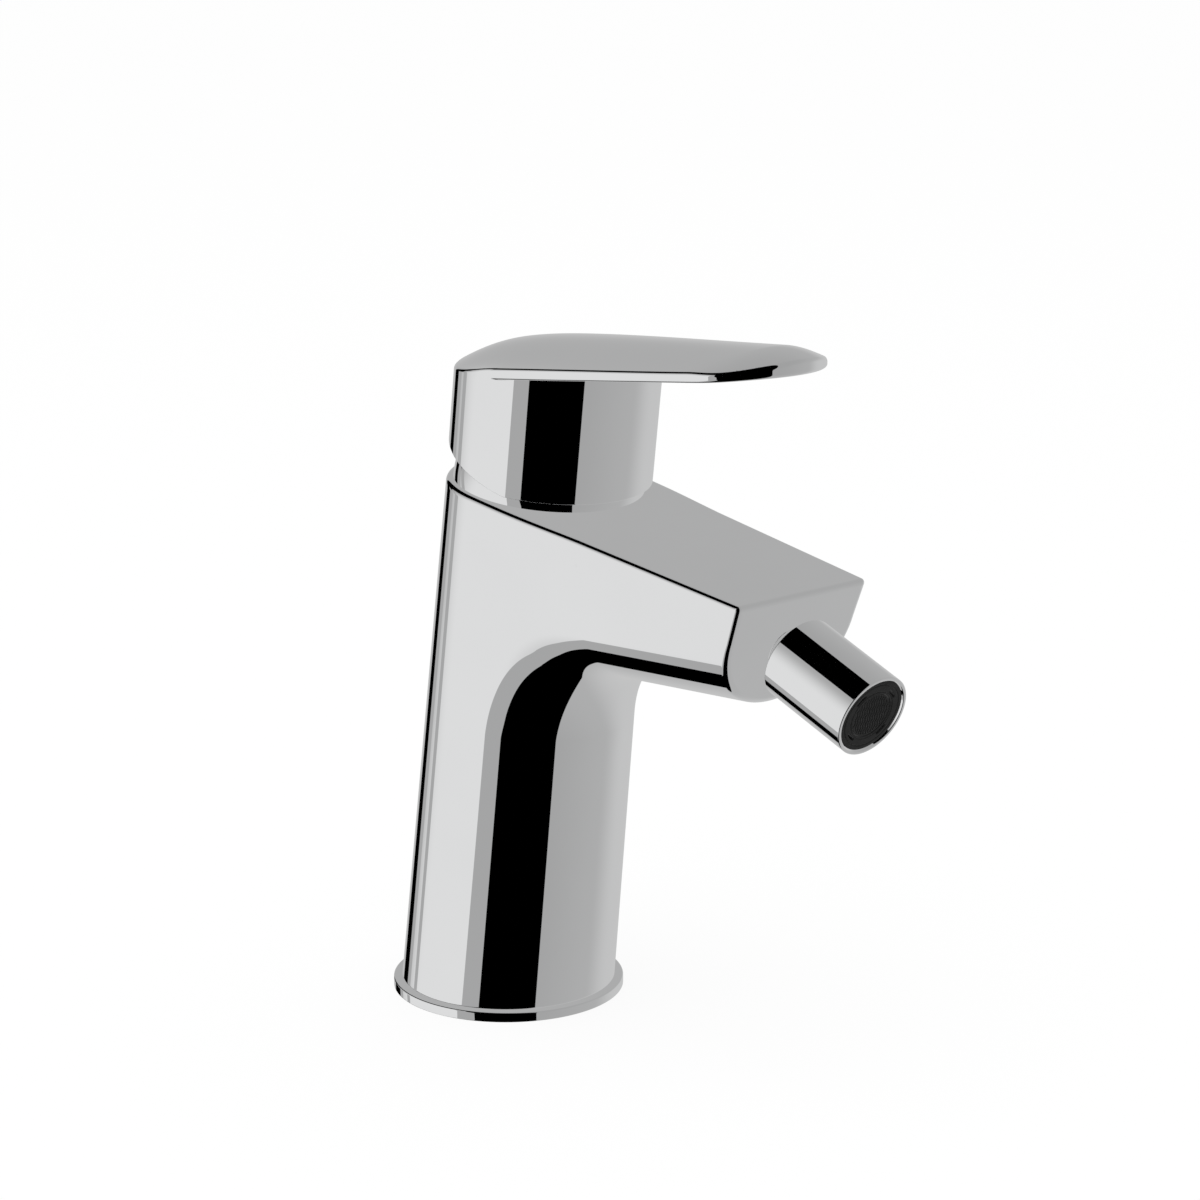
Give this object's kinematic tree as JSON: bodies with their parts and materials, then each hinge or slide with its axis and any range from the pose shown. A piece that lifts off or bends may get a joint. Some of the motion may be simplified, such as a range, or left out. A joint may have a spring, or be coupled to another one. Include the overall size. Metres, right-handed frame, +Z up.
{
  "type": "bidet mixer",
  "caption": "Deck-standing bidet mixer with a leaning round column, flat-topped spout, crowned single lever over a domed collar and a swivel nozzle on a ball joint.",
  "frame": {"origin": "centre of the base ring's underside, on the deck", "axes": "+Z up from the deck, +X from the column towards the spout and nozzle, Y across the mixer's plane of symmetry"},
  "size_m": [0.142, 0.052, 0.1565],
  "materials": {
    "chrome": "polished chrome plate",
    "brass": "turned, unplated",
    "steel": "bright machined",
    "ceramic": "lapped ceramic",
    "white_plastic": "moulded",
    "grey_plastic": "moulded",
    "dark_plastic": "moulded, satin",
    "black_rubber": "matt"
  },
  "bodies": {
    "mixer_body": {"base_ring": "chrome", "deck_gasket": "black_rubber", "base_seal": "black_rubber", "body_casting": "chrome", "cartridge_baseplate": "white_plastic", "fixed_disc": "ceramic", "cartridge_housing": "white_plastic", "cartridge_nut": "brass", "collar_seal": "black_rubber", "dome_collar": "chrome", "inlet_seal_right": "black_rubber", "inlet_seal_left": "black_rubber", "outlet_seal": "black_rubber", "ball_stud": "brass", "stud_washer": "black_rubber"},
    "turning_unit": {"turning_carrier": "grey_plastic", "pivot_pin": "steel"},
    "lever_unit": {"lever": "chrome", "stem": "brass", "grub_screw": "steel", "indicator_plug": "grey_plastic"},
    "sliding_disc": {"moving_disc": "ceramic", "disc_carrier": "grey_plastic"},
    "swivel_liner": {"ball_liner": "white_plastic"},
    "nozzle": {"nozzle_sleeve": "chrome", "socket_nut": "brass", "ball_seal": "black_rubber", "aerator_washer": "black_rubber", "aerator_housing": "dark_plastic", "flow_disc": "white_plastic", "aerator_screen": "dark_plastic"}
  },
  "joints": [
    {"name": "lever_turn", "type": "hinge", "parent": "mixer_body", "child": "turning_unit", "pos_m": [0, 0, 0.00216], "axis": [0.1256, 0, 0.9921], "range_deg": [-45, 45]},
    {"name": "lever_lift", "type": "hinge", "parent": "turning_unit", "child": "lever_unit", "pos_m": [0.01558, 0, 0.12518], "axis": [0, -1, 0], "range_deg": [0, 20]},
    {"name": "disc_slide", "type": "slide", "parent": "turning_unit", "child": "sliding_disc", "axis": [0.9921, 0, -0.1256], "range_m": [0, 0.0053]},
    {"name": "nozzle_swivel", "type": "hinge", "parent": "mixer_body", "child": "swivel_liner", "pos_m": [0.09774, 0, 0.09277], "axis": [0.9397, 0, -0.342], "continuous": true},
    {"name": "nozzle_tilt", "type": "hinge", "parent": "swivel_liner", "child": "nozzle", "pos_m": [0.09774, 0, 0.09277], "axis": [0, 1, 0], "range_deg": [-15, 15]}
  ],
  "couplings": [
    {"joint": "disc_slide", "follows": "lever_lift", "m_per_rad": 0.015}
  ]
}
